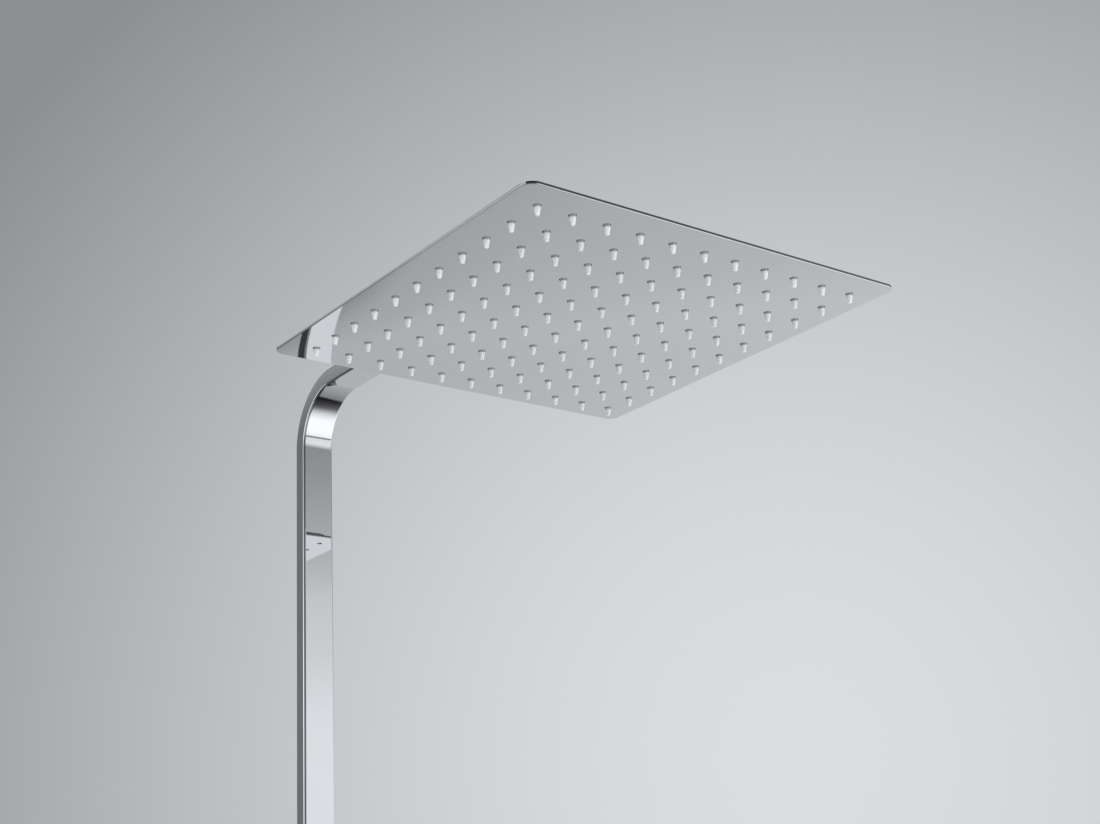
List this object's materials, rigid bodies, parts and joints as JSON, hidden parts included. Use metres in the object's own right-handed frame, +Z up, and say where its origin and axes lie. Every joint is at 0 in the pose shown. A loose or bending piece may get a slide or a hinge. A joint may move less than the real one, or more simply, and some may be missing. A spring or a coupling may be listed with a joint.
{
  "type": "shower column with overhead plate",
  "caption": "Wall-hung shower column: a flat bent tube on a wall bracket carries a thin square rain plate on a ball joint, with a union nut at its foot.",
  "frame": {"origin": "centre of the wall bracket's back face, on the wall", "axes": "+Y into the wall, so the arm reaches along -Y; +Z up along the column; +X to the right of someone facing the wall"},
  "size_m": [0.3, 0.575, 1.0585],
  "materials": {
    "chrome": "polished chrome plate on brass",
    "mirror_stainless": "mirror-polished stainless steel",
    "stainless": "plain stainless steel",
    "spring_steel": "spring steel strip",
    "silicone": "translucent white silicone",
    "seal_rubber": "black seal rubber",
    "liner_plastic": "natural slide plastic",
    "regulator_plastic": "moulded plastic"
  },
  "bodies": {
    "column": {"column_tube": "chrome", "arm_end_cap": "chrome", "outlet_nipple": "chrome", "flow_regulator": "regulator_plastic", "filter_gasket": "seal_rubber", "filter_screen": "stainless", "lower_adapter": "chrome", "nut_snap_ring": "spring_steel", "union_seal": "seal_rubber", "wall_plate": "stainless", "bracket_body": "chrome", "sleeve_liner": "liner_plastic", "column_lock_screw": "stainless", "post_lock_screw": "stainless", "wall_rosette": "chrome", "rosette_ring": "seal_rubber"},
    "union_nut": {"union_nut": "chrome"},
    "ball_stud": {"ball_stud": "chrome"},
    "ball_seats": {"ball_liner": "liner_plastic", "ball_seal": "seal_rubber"},
    "head": {"inlet_hub": "chrome", "swivel_nut": "chrome", "back_plate": "mirror_stainless", "face_plate": "mirror_stainless", "nozzle_mat": "silicone", "mat_clamp_frame": "stainless", "stand_offs": "stainless", "diffuser_plate": "stainless"}
  },
  "joints": [
    {"name": "head_turn", "type": "hinge", "parent": "column", "child": "ball_stud", "pos_m": [0, -0.425, 0.3757], "axis": [0, 0, 1], "continuous": true},
    {"name": "head_tilt", "type": "hinge", "parent": "ball_stud", "child": "ball_seats", "pos_m": [0, -0.425, 0.3757], "axis": [1, 0, 0], "range_deg": [-12, 12]},
    {"name": "head_spin", "type": "hinge", "parent": "ball_seats", "child": "head", "pos_m": [0, -0.425, 0.3757], "axis": [0, 0, 1], "continuous": true},
    {"name": "union_nut_spin", "type": "hinge", "parent": "column", "child": "union_nut", "pos_m": [0, -0.065, -0.63], "axis": [0, 0, 1], "continuous": true}
  ]
}
